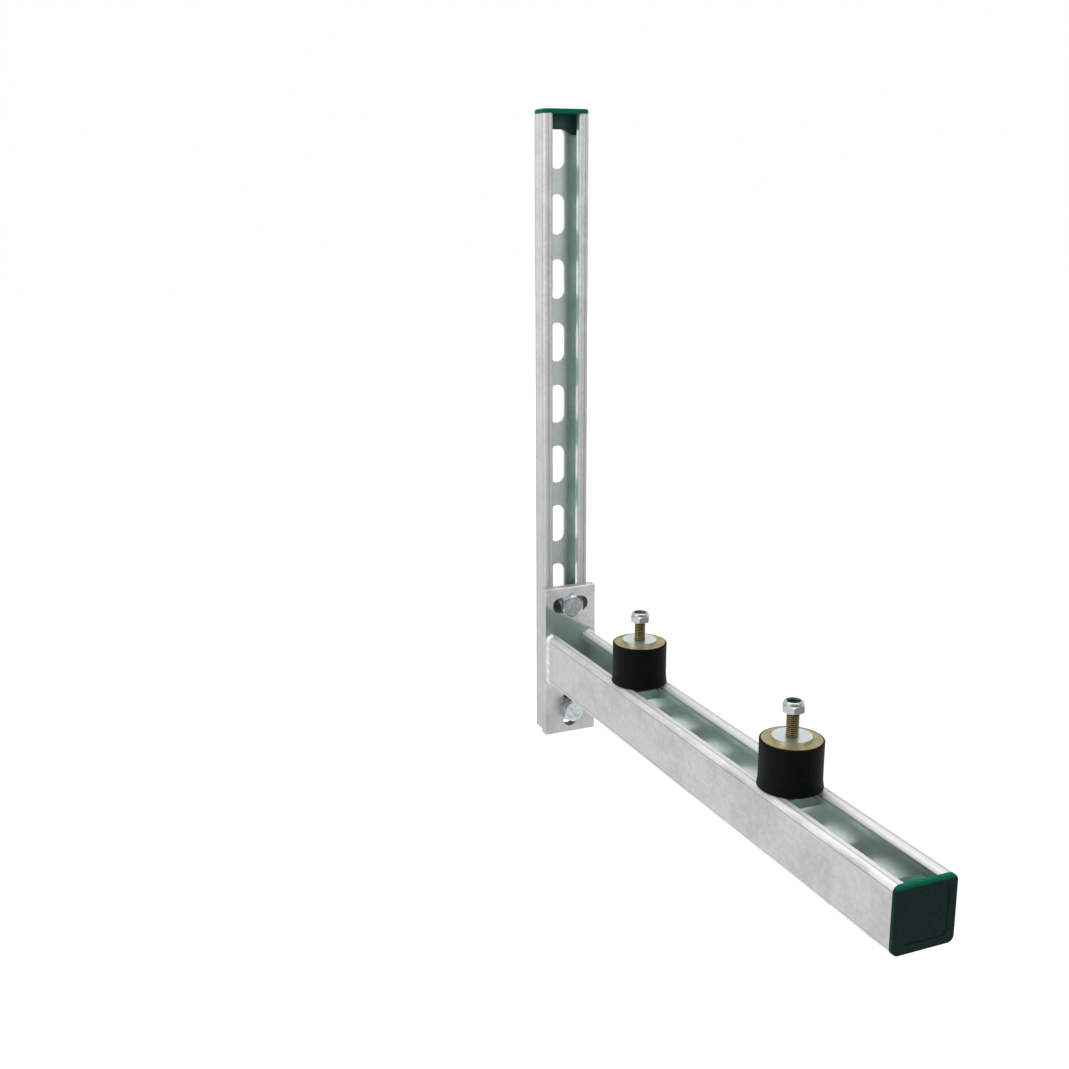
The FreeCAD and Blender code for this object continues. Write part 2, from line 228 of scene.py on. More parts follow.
class MountSettings(bpy.types.PropertyGroup):
    rubber: colour("Rubber", "Colour of the rubber", (0.0028, 0.0036, 0.0038))
    passivated: colour("Passivated steel", "Colour of the discs and studs", (0.38, 0.305, 0.125))
    plated: colour("Plated steel", "Colour of the lock nuts", (0.44, 0.465, 0.46))
    washer: colour("Washer", "Colour of the washers under the lock nuts", (0.638, 0.67425, 0.667))
    # The channel nut colour is brightened as painted light, for the shade inside the arm
    slide: colour("Channel nut", "Colour of the nuts inside the arm", (0.52, 0.62, 0.54))
    nylon: colour("Nylon", "Colour of the lock nuts' rings", (0.02, 0.10, 0.11))
    radius: length("Thread radius", "Outer radius of the stud thread", 0.004, 0.002, 0.01)
    pitch: length("Thread pitch", "Pitch of the stud thread", 0.00125, 0.0005, 0.004)


class StageSettings(bpy.types.PropertyGroup):
    floor_drop: length("Floor drop", "Distance from the bracket's foot down to the floor", 0.30, 0.0, 2.0)
    camera_place: FloatVectorProperty(
        name="Camera place", description="Where the camera stands", subtype="TRANSLATION",
        unit="LENGTH", size=3, default=(-0.444278, -0.991630, 0.190055), precision=5)
    azimuth: angle("Azimuth", "Turn of the camera round the bracket", math.radians(-23.184))
    elevation: angle("Elevation", "Height of the camera as an angle", math.radians(14.211))
    roll: angle("Roll", "Turn of the camera about its own axis", math.radians(-0.251))
    lens: FloatProperty(
        name="Lens", description="Focal length on a 36 mm frame, in mm", min=10, max=300, default=45.177)
    floor_glow: share("Floor glow", "Brightness of the floor under the bracket as metal mirrors it", 0.66)
    top_light: power("Top light", "Power of the lamp overhead, in watts", 24)
    left_light: power("Left light", "Power of the lamp on the left, in watts", 27)
    front_light: power("Front light", "Power of the lamp in front, in watts", 10)
    warm: colour("Floor in metal", "Tint of the floor where metal mirrors it", (1.0, 0.96, 0.90))
    surround: colour("Surround", "Plain light from all round", (0.26, 0.26, 0.26))
    room: share("Room", "Brightness of the room that metal mirrors from in front of the bracket", 0.25)


SETTINGS = {
    "bracket_steel": SteelSettings,
    "bracket_weld": WeldSettings,
    "bracket_caps": CapSettings,
    "bracket_bolts": BoltSettings,
    "bracket_mounts": MountSettings,
    "bracket_stage": StageSettings,
}


# Materials

class Patterns:
    """Helpers that add nodes to one tree and give their outputs."""

    def __init__(self, tree, coordinates):
        self.tree = tree
        self.place = self.node("ShaderNodeTexCoord").outputs[coordinates]

    def node(self, kind, **settings):
        made = self.tree.nodes.new(kind)
        for name, value in settings.items():
            setattr(made, name, value)
        return made

    def feed(self, socket, value):
        """Set a socket, or link it where the value is another node's output."""
        if isinstance(value, bpy.types.NodeSocket):
            self.tree.links.new(value, socket)
        elif socket.type == "RGBA":
            socket.default_value = (*value, 1.0)
        else:
            socket.default_value = value

    def split(self, value):
        """The three parts of a place or a colour."""
        made = self.node("ShaderNodeSeparateXYZ")
        self.feed(made.inputs[0], value)
        return made.outputs

    def stretched(self, x, y, z):
        """The place with each axis multiplied by a factor."""
        made = self.node("ShaderNodeMapping")
        self.feed(made.inputs["Vector"], self.place)
        made.inputs["Scale"].default_value = (x, y, z)
        return made.outputs["Vector"]

    def cloud(self, size, detail=3.0, lumps=0.55, where=None):
        """Soft noise whose lumps are about this size, from 0 to 1."""
        made = self.node("ShaderNodeTexNoise")
        self.feed(made.inputs["Vector"], where or self.place)
        made.inputs["Scale"].default_value = 1.0 / size
        made.inputs["Detail"].default_value = detail
        made.inputs["Roughness"].default_value = lumps
        return made.outputs["Fac"]

    def crystals(self, size):
        """One random value for each zinc crystal."""
        made = self.node("ShaderNodeTexVoronoi")
        self.feed(made.inputs["Vector"], self.place)
        made.inputs["Scale"].default_value = 1.0 / size
        return self.split(made.outputs["Color"])[0]

    def span(self, value, low, high, to_low=0.0, to_high=1.0):
        """Map low..high onto to_low..to_high with smooth ends."""
        made = self.node("ShaderNodeMapRange", interpolation_type="SMOOTHSTEP")
        for name, given in (("Value", value), ("From Min", low), ("From Max", high),
                            ("To Min", to_low), ("To Max", to_high)):
            self.feed(made.inputs[name], given)
        return made.outputs["Result"]

    def combine(self, operation, first, second=0.0):
        made = self.node("ShaderNodeMath", operation=operation)
        self.feed(made.inputs[0], first)
        self.feed(made.inputs[1], second)
        return made.outputs[0]

    def plus(self, first, second):
        return self.combine("ADD", first, second)

    def minus(self, first, second):
        return self.combine("SUBTRACT", first, second)

    def times(self, first, second):
        return self.combine("MULTIPLY", first, second)

    def larger(self, first, second):
        return self.combine("MAXIMUM", first, second)

    def magnitude(self, value):
        return self.combine("ABSOLUTE", value)

    def mix(self, amount, first, second):
        """The first colour at amount 0, the second at 1."""
        made = self.node("ShaderNodeMix", data_type="RGBA")
        self.feed(made.inputs["Factor"], amount)
        self.feed(made.inputs[MIX_FIRST], first)
        self.feed(made.inputs[MIX_SECOND], second)
        return made.outputs[MIX_RESULT]


class Finish(Patterns):
    """One material, with patterns placed in the bracket's own coordinates."""

    def __init__(self, name, metallic, roughness):
        self.material = bpy.data.materials.new(name)
        self.material.use_nodes = True
        super().__init__(self.material.node_tree, "Object")
        self.shader = self.tree.nodes["Principled BSDF"]
        self.shader.inputs["Metallic"].default_value = metallic
        self.shader.inputs["Roughness"].default_value = roughness

    def paint(self, value):
        self.feed(self.shader.inputs["Base Color"], value)

    def gloss(self, value):
        self.feed(self.shader.inputs["Roughness"], value)

    def metallic(self, value):
        self.feed(self.shader.inputs["Metallic"], value)

    def relief(self, height, depth, strength):
        made = self.node("ShaderNodeBump")
        made.inputs["Strength"].default_value = strength
        made.inputs["Distance"].default_value = depth
        self.feed(made.inputs["Height"], height)
        self.feed(self.shader.inputs["Normal"], made.outputs["Normal"])


def shade(tint, level):
    """A colour made darker or brighter, up to white."""
    return tuple(min(1.0, c * level) for c in tint)


def filtered(tint, parts):
    """A colour with its red, green and blue each cut to a part."""
    return tuple(c * part for c, part in zip(tint, parts))


def channel_patterns(zinc, node, long_axis):
    """Four patterns on a channel: inside, bends, the painted shade line beside each bend and the topmost
    crests, which get a painted highlight.
    """
    low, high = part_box(node)
    middle, half = (low + high) / 2, (high - low) / 2
    across = [axis for axis in range(3) if axis != long_axis]
    places = zinc.split(zinc.place)
    off = {axis: zinc.magnitude(zinc.minus(places[axis], middle[axis])) for axis in across}
    within, bend, bend_shade = 1.0, 1.0, 0.0
    for axis, other in (across, across[::-1]):
        wall = half[axis] - INSIDE_FROM
        within = zinc.times(within, zinc.span(off[axis], wall - BLUR, wall + BLUR, 1.0, 0.0))
        bend = zinc.times(bend, zinc.span(off[axis], half[axis] - BEND_FROM, half[axis] - BEND_FULL))
        line = zinc.magnitude(zinc.minus(off[axis], half[axis] - BEND_SHADE_AT))
        skin_only = zinc.span(off[other], half[other] - SKIN_NONE, half[other] - SKIN_FULL)
        bend_shade = zinc.larger(bend_shade, zinc.times(zinc.span(line, BEND_SHADE_CORE, BEND_SHADE_HALF, 1.0, 0.0), skin_only))
    deep = across[1]
    rise = zinc.minus(places[deep], middle[deep])
    crest = zinc.span(rise, half[deep] - CREST_FROM, half[deep] - CREST_FULL)
    return within, bend, bend_shade, crest


def zinc_finish(name, steel, node, long_axis, level, inner, glare=0.0, grey_foot=0.0):
    """Galvanised sheet: fine crystals, light draw marks, bright runs on the bends and a smoother inside.

    The bright runs are part thick zinc and part painted highlight, and the crests get the painted highlight
    alone. Painted shade lines run beside the bends.
    The inside's colour is painted light and shade: the teal tint of shade, a brighter painted light band
    down its middle and painted shade near the arm's cap. level is the brightness of the outside and inner
    the inside's colour. glare is the strength of the bright runs with their painted highlight, and
    grey_foot tells how far the outside greys towards the bracket's foot.
    """
    bright, dull = shade(steel.bright, level), shade(steel.dull, level)
    zinc = Finish(name, 0.3, steel.roughness)
    x, y, z = zinc.split(zinc.place)
    within, bend, bend_shade, crest = channel_patterns(zinc, node, long_axis)
    draw = [1.0, 1.0, 1.0]
    draw[long_axis] = DRAW_STRETCH
    patches = zinc.span(zinc.cloud(0.030, 4.0, 0.6), 0.42, 0.66)
    crystals = zinc.crystals(steel.grain)
    fine = zinc.span(zinc.cloud(0.0032, 4.0, 0.7), 0.38, 0.64)
    marks = zinc.cloud(0.0016, 2.0, 0.5, zinc.stretched(*draw))
    specks = zinc.span(zinc.cloud(0.0060, 4.0, 0.75), 0.60, 0.74)
    tone = zinc.times(patches, 0.26)
    for part, amount in ((crystals, 0.08), (fine, 0.22), (marks, 0.34)):
        tone = zinc.plus(tone, zinc.times(part, amount))

    outside = zinc.mix(tone, bright, dull)
    outside = zinc.mix(zinc.times(specks, 0.30), outside, shade(dull, 0.62))
    foot = zinc.span(z, FOOT + GREY_FULL, FOOT + GREY_NONE, grey_foot, 0.0)
    outside = zinc.mix(foot, outside, shade(dull, 0.80))
    # Painted highlight: the bright runs on the bends are part thick zinc and part painted highlight, and
    # the crests get the painted highlight alone
    streaks = zinc.cloud(0.008, 4.0, 0.6, zinc.stretched(1, 0.22, 1))
    runs = zinc.times(bend, zinc.span(streaks, 0.36, 0.58))
    runs = zinc.larger(runs, zinc.times(crest, 0.55))
    runs = zinc.times(runs, zinc.span(y, RUNS_FULL, RUNS_WEAK, glare, 0.40 * glare))
    outside = zinc.mix(runs, outside, RUN_HIGHLIGHT_TINT)
    # Painted shade: a dark line beside each bend, on the outer skin only
    outside = zinc.mix(zinc.times(bend_shade, 0.5), outside, shade(dull, 0.40))

    middle = sum(corner.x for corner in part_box(node)) / 2
    side = zinc.magnitude(zinc.minus(x, middle))
    # Painted light and shade inside: the inner colour carries the teal tint of shade, and a brighter
    # painted light band goes down the middle
    band = zinc.span(side, 0.3 * steel.inner_light_band, 0.6 * steel.inner_light_band, 1.0, 0.0)
    inside = zinc.mix(band, inner, [0.42 * (i + b) for i, b in zip(inner, bright)])
    stain = zinc.plus(zinc.times(patches, 0.20), zinc.times(fine, 0.12))
    inside = zinc.mix(stain, inside, shade(inner, 0.5))
    # Painted shade inside the arm, strongest near its cap
    cap_shade = zinc.span(y, SHADE_FULL, SHADE_NONE, 0.75, 0.0)
    inside = zinc.mix(cap_shade, inside, shade(inner, 0.30))

    zinc.paint(zinc.mix(within, outside, inside))
    zinc.metallic(zinc.span(within, 0.0, 1.0, 0.28, zinc.span(band, 0.0, 1.0, 0.70, 0.35)))
    rough = zinc.plus(zinc.times(tone, 0.16), steel.roughness - 0.06)
    sheen = zinc.plus(zinc.times(tone, 0.05), zinc.span(band, 0.0, 1.0, 0.205, 0.42))
    zinc.gloss(zinc.span(within, 0.0, 1.0, rough, sheen))
    waves = zinc.plus(zinc.cloud(0.009, 2.0, 0.5), zinc.times(marks, 0.08))
    zinc.relief(zinc.times(waves, zinc.span(within, 0.0, 1.0, 1.0, 0.2)), 0.0006, 0.4)
    return zinc.material


def plate_finish(name, steel):
    """Hot-dip zinc on thick plate: mottled, spangled, greyer on its sides and low down, with a painted
    reflection of the arm's dark inside above the arm.
    """
    dull = shade(steel.plate, 0.68)
    zinc = Finish(name, 0.55, 0.3)
    runs = zinc.cloud(0.014, 5.0, 0.66, zinc.stretched(1.0, 1.0, 0.7))
    mottle = zinc.span(runs, 0.40, 0.66)
    fine = zinc.cloud(0.0025, 3.0, 0.7)
    spots = zinc.span(zinc.cloud(0.008, 4.0, 0.7), 0.52, 0.66)
    ground = zinc.mix(zinc.times(mottle, 0.66), steel.plate, dull)
    ground = zinc.mix(zinc.span(fine, 0.38, 0.66, 0.0, 0.45), ground, dull)
    ground = zinc.mix(zinc.times(spots, 0.6), ground, SPOT_TINT)
    low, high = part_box("arm_channel")
    x, y, z = zinc.split(zinc.place)
    grey = zinc.span(z, low.z + PLATE_GREY, low.z + PLATE_CLEAR, 0.75, 0.0)
    ground = zinc.mix(grey, ground, shade(dull, 0.75))
    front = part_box("mounting_plate")[0].y
    face = zinc.span(y, front + 0.1 * MM, front + 0.5 * MM, 1.0, 0.0)
    ground = zinc.mix(face, zinc.mix(0.75, ground, shade(steel.plate, 0.48)), ground)
    # Painted reflection: the dark film colour stands for the arm's dark inside, mirrored in the plate above
    # the arm
    slant = zinc.plus(z, zinc.times(x, steel.reflection_slope))
    film = zinc.times(zinc.span(slant, high.z + REFLECTION_FULL, high.z + REFLECTION_NONE, 1.0, 0.0), face)
    film = zinc.times(film, zinc.span(z, low.z - 1 * MM, low.z + 1 * MM))
    zinc.paint(zinc.mix(zinc.times(film, 0.75), ground, steel.film))
    zinc.gloss(zinc.plus(zinc.times(mottle, 0.14), zinc.span(spots, 0.0, 1.0, 0.30, 0.42)))
    zinc.relief(zinc.cloud(0.011, 2.0, 0.5), 0.0007, 0.5)
    return zinc.material


def weld_finish(name, tint):
    """Bright zinc over a rippled bead, greyer in its valleys."""
    bead = Finish(name, 0.35, 0.36)
    lumps = bead.cloud(0.0045, 4.0, 0.6)
    bead.paint(bead.mix(bead.span(lumps, 0.46, 0.72), tint, shade(tint, 0.74)))
    bead.gloss(bead.span(lumps, 0.3, 0.7, 0.32, 0.5))
    bead.relief(bead.plus(lumps, bead.times(bead.cloud(0.0012, 2.0), 0.2)), 0.0006, 0.6)
    return bead.material


def plated_finish(name, tint, roughness, mottle=0.3):
    """Zinc plated hardware: smooth, with a mottled film and fine handling marks."""
    metal = Finish(name, 0.8, roughness)
    film = metal.cloud(0.0035, 4.0, 0.7)
    scuffs = metal.span(metal.cloud(0.0013, 3.0, 0.7), 0.60, 0.78)
    worn = filtered(tint, (0.72, 0.76, 0.77))
    wear = metal.span(film, 0.40, 0.62, 0.5 - 0.5 * mottle, 0.5 + 0.5 * mottle)
    ground = metal.mix(wear, shade(tint, 1.18), worn)
    metal.paint(metal.mix(metal.times(scuffs, 0.35), ground, shade(tint, 0.6)))
    metal.gloss(metal.plus(metal.times(scuffs, 0.05), roughness))
    metal.relief(metal.cloud(0.0016, 3.0, 0.5), 0.0001, 0.4)
    return metal.material


def passivated_finish(name, tint):
    """Yellow passivated steel: olive and straw film, darker specks, and painted shade in the thread's
    roots.
    """
    metal = Finish(name, 0.6, 0.42)
    film = metal.cloud(0.007, 3.0, 0.6)
    ground = metal.mix(metal.span(film, 0.35, 0.68), tint, filtered(tint, (0.72, 0.80, 0.95)))
    specks = metal.span(metal.cloud(0.0014, 3.0, 0.7), 0.56, 0.72)
    worn = metal.mix(metal.times(specks, 0.4), ground, shade(tint, 0.45))
    # Painted shade in the thread's roots, darkest where a point lies deepest
    root = metal.node("ShaderNodeAttribute", attribute_name=ROOT).outputs["Fac"]
    metal.paint(metal.mix(metal.span(root, 0.12, 0.60, 0.0, 0.92), worn, THREAD_SHADE_TINT))
    metal.gloss(metal.span(film, 0.3, 0.7, 0.34, 0.52))
    metal.relief(metal.cloud(0.0008, 3.0, 0.6), 0.00025, 0.6)
    return metal.material


def rubber_finish(name, tint):
    """Moulded black rubber: fine grain and a faint grey bloom."""
    rubber = Finish(name, 0.0, 0.6)
    rubber.shader.inputs["Specular IOR Level"].default_value = 0.06
    bloom = rubber.span(rubber.cloud(0.016, 4.0, 0.6), 0.42, 0.78)
    dust = rubber.span(rubber.cloud(0.0016, 3.0, 0.8), 0.50, 0.74)
    ground = rubber.mix(rubber.times(bloom, 0.6), tint, shade(tint, 2.0))
    rubber.paint(rubber.mix(rubber.times(dust, 0.5), ground, shade(tint, 4.5)))
    rubber.gloss(rubber.span(bloom, 0.0, 1.0, 0.56, 0.70))
    grain = rubber.plus(rubber.cloud(0.0007, 2.0), rubber.times(rubber.cloud(0.006, 2.0), 0.8))
    rubber.relief(grain, 0.0003, 0.5)
    return rubber.material


def cap_finish(name, rim, body, plug, on_rim, on_plug):
    """Moulded green plastic: the rim and the plugs are brighter than the thick middle, the rim by a painted
    highlight where light falls on it and the plugs by painted light for the shade inside the channels.

    on_rim makes the pattern that is 1 on the lit rim, on_plug the one that is 1 on the plug.
    """
    plastic = Finish(name, 0.0, 0.42)
    plastic.shader.inputs["Specular IOR Level"].default_value = 0.04
    speck = plastic.span(plastic.cloud(0.0022, 4.0, 0.75), 0.36, 0.66)
    tone = plastic.mix(speck, body, shade(body, 1.5))
    edge = plastic.mix(speck, rim, shade(rim, 0.8))
    inside = plastic.mix(speck, plug, shade(plug, 0.75))
    plastic.paint(plastic.mix(on_plug(plastic), plastic.mix(on_rim(plastic), tone, edge), inside))
    plastic.gloss(plastic.span(speck, 0.0, 1.0, 0.36, 0.50))
    plastic.relief(plastic.cloud(0.01, 2.0), 0.00025, 0.4)
    return plastic.material


def nylon_finish(name, tint):
    nylon = Finish(name, 0.0, 0.4)
    haze = nylon.cloud(0.002, 2.0)
    nylon.paint(nylon.mix(nylon.span(haze, 0.35, 0.65), tint, shade(tint, 0.6)))
    nylon.relief(haze, 0.0002, 0.4)
    return nylon.material


def dress(material, *names):
    """Put one material on every slot of these CAD nodes."""
    for name in names:
        thing = NODES[name]
        if not thing.material_slots:
            thing.data.materials.append(material)
        for slot in thing.material_slots:
            slot.material = material


# Meshes

def skin(bm, rings):
    """Quads through rings of points, with a flat face over each end."""
    rows = [[bm.verts.new(point) for point in outline] for outline in rings]
    count = len(rows[0])
    for low, high in zip(rows, rows[1:]):
        for i in range(count):
            j = (i + 1) % count
            bm.faces.new((low[i], low[j], high[j], high[i]))
    bm.faces.new(rows[0][::-1])
    bm.faces.new(rows[-1])


def ring(height, radius, segments):
    """Circle at a height; radius is a number or a function of the angle."""
    points = []
    for i in range(segments):
        turn = math.tau * i / segments
        r = radius(turn) if callable(radius) else radius
        points.append(Vector((r * math.cos(turn), r * math.sin(turn), height)))
    return points


def hex_radius(across_flats, turn):
    """Distance from the centre to a hexagon's side, as a function of the angle."""
    def radius(at):
        off = (at - turn) % (math.pi / 3) - math.pi / 6
        return across_flats / 2 / math.cos(off)
    return radius


def hex_head_rings(across_flats, height, turn, segments):
    """Hexagon head on height 0 with its corners turned off at 30 degrees and a shallow dish on top."""
    side = hex_radius(across_flats, turn)
    flat = across_flats / 2
    slope = math.tan(math.radians(30))
    nose = 0.12 * MM

    def shoulder(drop, inset):
        points = ring(0, lambda at: side(at) - inset, segments)
        for i, point in enumerate(points):
            over = max(0.0, side(math.tau * i / segments) - flat * 0.985)
            point.z = height - over * slope - drop
        return points

    return [
        ring(0, lambda at: min(side(at), flat * 0.97), segments),
        ring(0.25 * MM, lambda at: min(side(at), flat * 0.985), segments),
        ring(0.3 * MM, side, segments),
        shoulder(2 * nose, 0.0),
        shoulder(0.3 * nose, nose),
        ring(height - 0.02 * MM, flat * 0.95, segments),
        ring(height, flat * 0.88, segments),
        ring(height - 0.06 * MM, flat * 0.62, segments),
    ]


def thread_rings(radius, pitch, start, end, tip):
    """Rings of a threaded rod between two heights, with a chamfered tip."""
    depth = THREAD_DEPTH * pitch
    step = pitch / THREAD_RINGS
    count = round((end - start) / step)
    rings = []
    for j in range(count + 1):
        height = start + (end - start) * j / count
        limit = radius - max(0.0, height - (end - tip))
        fade = min(1.0, (height - start) / pitch)

        def groove(at, height=height, limit=limit, fade=fade):
            phase = (height / pitch - at / math.tau) % 1.0
            rise = abs(2 * phase - 1)
            flank = min(max((rise - THREAD_CREST) / THREAD_FLANKS, 0.0), 1.0)
            return min(radius - depth * fade * flank, limit)

        rings.append(ring(height, groove, THREAD_SEGMENTS))
    return rings


def mark_roots(mesh, axis_point, radius, pitch):
    """Write how deep each point of a thread lies, 0 at its crest and 1 at its root."""
    marks = mesh.attributes.new(ROOT, "FLOAT", "POINT")
    depth = THREAD_DEPTH * pitch
    for i, vertex in enumerate(mesh.vertices):
        off = math.hypot(vertex.co.x - axis_point.x, vertex.co.y - axis_point.y)
        marks.data[i].value = min(max((radius - off) / depth, 0.0), 1.0)


def add_piece(name, bm, place, material, slot, *nodes):
    """Turn a mesh into a piece of the bracket that stands for CAD nodes."""
    bmesh.ops.recalc_face_normals(bm, faces=bm.faces)
    bm.transform(place)
    mesh = bpy.data.meshes.new(name)
    bm.to_mesh(mesh)
    bm.free()
    mesh.materials.append(material)
    mesh.shade_smooth()
    mesh.set_sharp_from_angle(angle=SHARP_ANGLE)
    piece = bpy.data.objects.new(name, mesh)
    bpy.context.scene.collection.objects.link(piece)
    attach(piece, "root")
    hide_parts(*nodes)
    return piece


def facing(axis, origin):
    """Place a mesh made along +Z at a point, with its Z along another axis."""
    turn = UP.rotation_difference(axis).to_matrix().to_4x4()
    return Matrix.Translation(origin) @ turn


# Operators

class BRACKET_OT_dress_channels(bpy.types.Operator):
    """Give the rail, the arm and the plate their zinc"""
    bl_idname = "bracket.dress_channels"
    bl_label = "Channels and Plate"

    def execute(self, context):
        steel = context.scene.bracket_steel
        dress(zinc_finish("rail_zinc", steel, "wall_rail", long_axis=2, level=steel.rail_level,
                          inner=steel.rail_inner, grey_foot=steel.rail_foot), "wall_rail")
        dress(zinc_finish("arm_zinc", steel, "arm_channel", long_axis=1, level=steel.arm_level,
                          inner=steel.arm_inner, glare=steel.arm_glare), "arm_channel")
        dress(plate_finish("plate_zinc", steel), "mounting_plate")
        return {"FINISHED"}


class BRACKET_OT_lay_welds(bpy.types.Operator):
    """Lay the rippled beads down both sides of the arm"""
    bl_idname = "bracket.lay_welds"
    bl_label = "Welds"

    # The arm's outer bend, where the bead starts on the lip, its run underneath and the step between rings
    bend = 3.4 * MM
    lip_start = 14.4 * MM
    under = 6.0 * MM
    step = 0.45 * MM

    # Lengths of the bead's slow swells and of its small lumps
    swells = 5 * MM
    lumps = 1.3 * MM

    # Shares by which ripples, swells and lumps change the bead's size
    by_ripple = 0.035
    by_swell = 0.20
    by_lump = 0.05

    # Size of the bead at either end, as a share, and the rings over which it grows to full
    at_end = 0.45
    end_rings = 6

    # Depth of the bead's root and of its toes in the steel, and the steps across its face
    root = 0.3 * MM
    toe = 0.2 * MM
    face_steps = 6

    # Crown of the face as a share of its reach, and how much a swell adds to it and to the reach on the arm
    crown = 0.30
    crown_by_swell = 0.12
    reach_by_swell = 0.25

    def flat(self, start, end, normal):
        count = max(2, round((end - start).length / self.step))
        for i in range(count):
            yield start.lerp(end, i / count), normal

    def corner(self, centre, first, last):
        count = max(2, round(abs(last - first) * self.bend / self.step))
        for i in range(count):
            at = first + (last - first) * i / count
            normal = Vector((math.cos(at), 0, math.sin(at)))
            yield centre + normal * self.bend, normal

    def stations(self):
        """Points round half of the arm, from the lip's top to its underside, each with its normal."""
        low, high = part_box("arm_channel")
        turn = high.x - self.bend
        upper, lower = high.z - self.bend, low.z + self.bend
        yield from self.flat(Vector((self.lip_start, 0, high.z)), Vector((turn, 0, high.z)), UP)
        yield from self.corner(Vector((turn, 0, upper)), 0.5 * math.pi, 0.0)
        yield from self.flat(Vector((high.x, 0, upper)), Vector((high.x, 0, lower)), ACROSS)
        yield from self.corner(Vector((turn, 0, lower)), 0.0, -0.5 * math.pi)
        yield from self.flat(Vector((turn, 0, low.z)), Vector((turn - self.under, 0, low.z)), -UP)

    def section(self, point, normal, far, plate_y, weld, swell, lean):
        """Bead outline at one station: rooted in the plate and the arm, with a crowned face."""
        up = weld.on_plate * swell
        out = weld.on_arm * swell * (1 + self.reach_by_swell * lean)
        crown = self.crown + self.crown_by_swell * lean
        points = [(-self.root, -self.root), (up, -self.toe)]
        for i in range(self.face_steps + 1):
            t = i / self.face_steps
            bulge = crown * 4 * t * (1 - t)
            points.append((up * (1 - t) + up * bulge * 0.8, out * t + out * bulge * 0.30))
        points.append((-self.toe, out))
        outline = []
        for rise, along in points:
            spot = point + normal * rise
            spot.y = plate_y - along
            spot.x = min(spot.x, far)
            outline.append(spot)
        return outline

    def execute(self, context):
        weld = context.scene.bracket_weld
        material = weld_finish("weld_zinc_skin", weld.tint)
        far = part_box("mounting_plate")[1].x - 0.05 * MM
        plate_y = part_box("mounting_plate")[0].y
        path = list(self.stations())
        for side, name in ((-1, "weld_left"), (1, "weld_right")):
            rings = []
            run = 0.0
            for i, (point, normal) in enumerate(path):
                if i:
                    run += (point - path[i - 1][0]).length
                slow = noise.noise(Vector((run / self.swells, side * 3.1, 0)))
                quick = noise.noise(Vector((run / self.lumps, side * 7.7, 2)))
                wave = math.sin(math.tau * run / weld.ripple + 2 * slow)
                inward = min(i, len(path) - 1 - i) / self.end_rings
                uneven = 1 + self.by_ripple * wave + self.by_swell * slow + self.by_lump * quick
                swell = uneven * min(1.0, self.at_end + (1 - self.at_end) * inward)
                rings.append(self.section(point, normal, far, plate_y, weld, swell, slow))
            bm = bmesh.new()
            skin(bm, rings)
            mirror = Matrix.Diagonal((side, 1, 1, 1))
            add_piece(name + "_bead", bm, mirror, material, "weld_zinc", name)
        return {"FINISHED"}


class BRACKET_OT_dress_caps(bpy.types.Operator):
    """Give both caps their green plastic"""
    bl_idname = "bracket.dress_caps"
    bl_label = "Caps"

    # Depths below the end cap's upper edge, and in from its near side, between which the painted highlight
    # on its lit rim fades out
    top_full = 1.0 * MM
    top_none = 2.8 * MM
    side_full = 0.1 * MM
    side_none = 0.5 * MM

    # Strength of the painted highlight down the near side, and the distance over which a plug's painted
    # light begins
    side_rim = 0.08
    plug_edge = 0.1 * MM

    def end_rim(self, plastic):
        """1 along the end cap's upper edge and a little down its near side, where the painted highlight
        goes, 0 on the rest of the face.
        """
        low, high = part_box("arm_end_cap")
        places = plastic.split(plastic.place)
        top = plastic.span(places[2], high.z - self.top_none, high.z - self.top_full)
        near = plastic.span(places[0], low.x + self.side_full, low.x + self.side_none, self.side_rim, 0.0)
        return plastic.larger(top, near)

    def end_plug(self, plastic):
        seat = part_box("arm_channel")[0].y
        return plastic.span(plastic.split(plastic.place)[1], seat - self.plug_edge, seat)

    # The top cap's head above the rail gets the painted highlight, and its plug below gets painted light
    def top_rim(self, plastic):
        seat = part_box("wall_rail")[1].z
        height = plastic.split(plastic.place)[2]
        return plastic.span(height, seat - self.plug_edge, seat + self.plug_edge)

    def top_plug(self, plastic):
        return plastic.minus(1.0, self.top_rim(plastic))

    def execute(self, context):
        caps = context.scene.bracket_caps
        dress(cap_finish("end_cap_plastic", caps.rim, caps.body, caps.end_plug,
                         on_rim=self.end_rim, on_plug=self.end_plug), "arm_end_cap")
        dress(cap_finish("top_cap_plastic", caps.rim, caps.body, caps.top_plug,
                         on_rim=self.top_rim, on_plug=self.top_plug), "rail_top_cap")
        return {"FINISHED"}


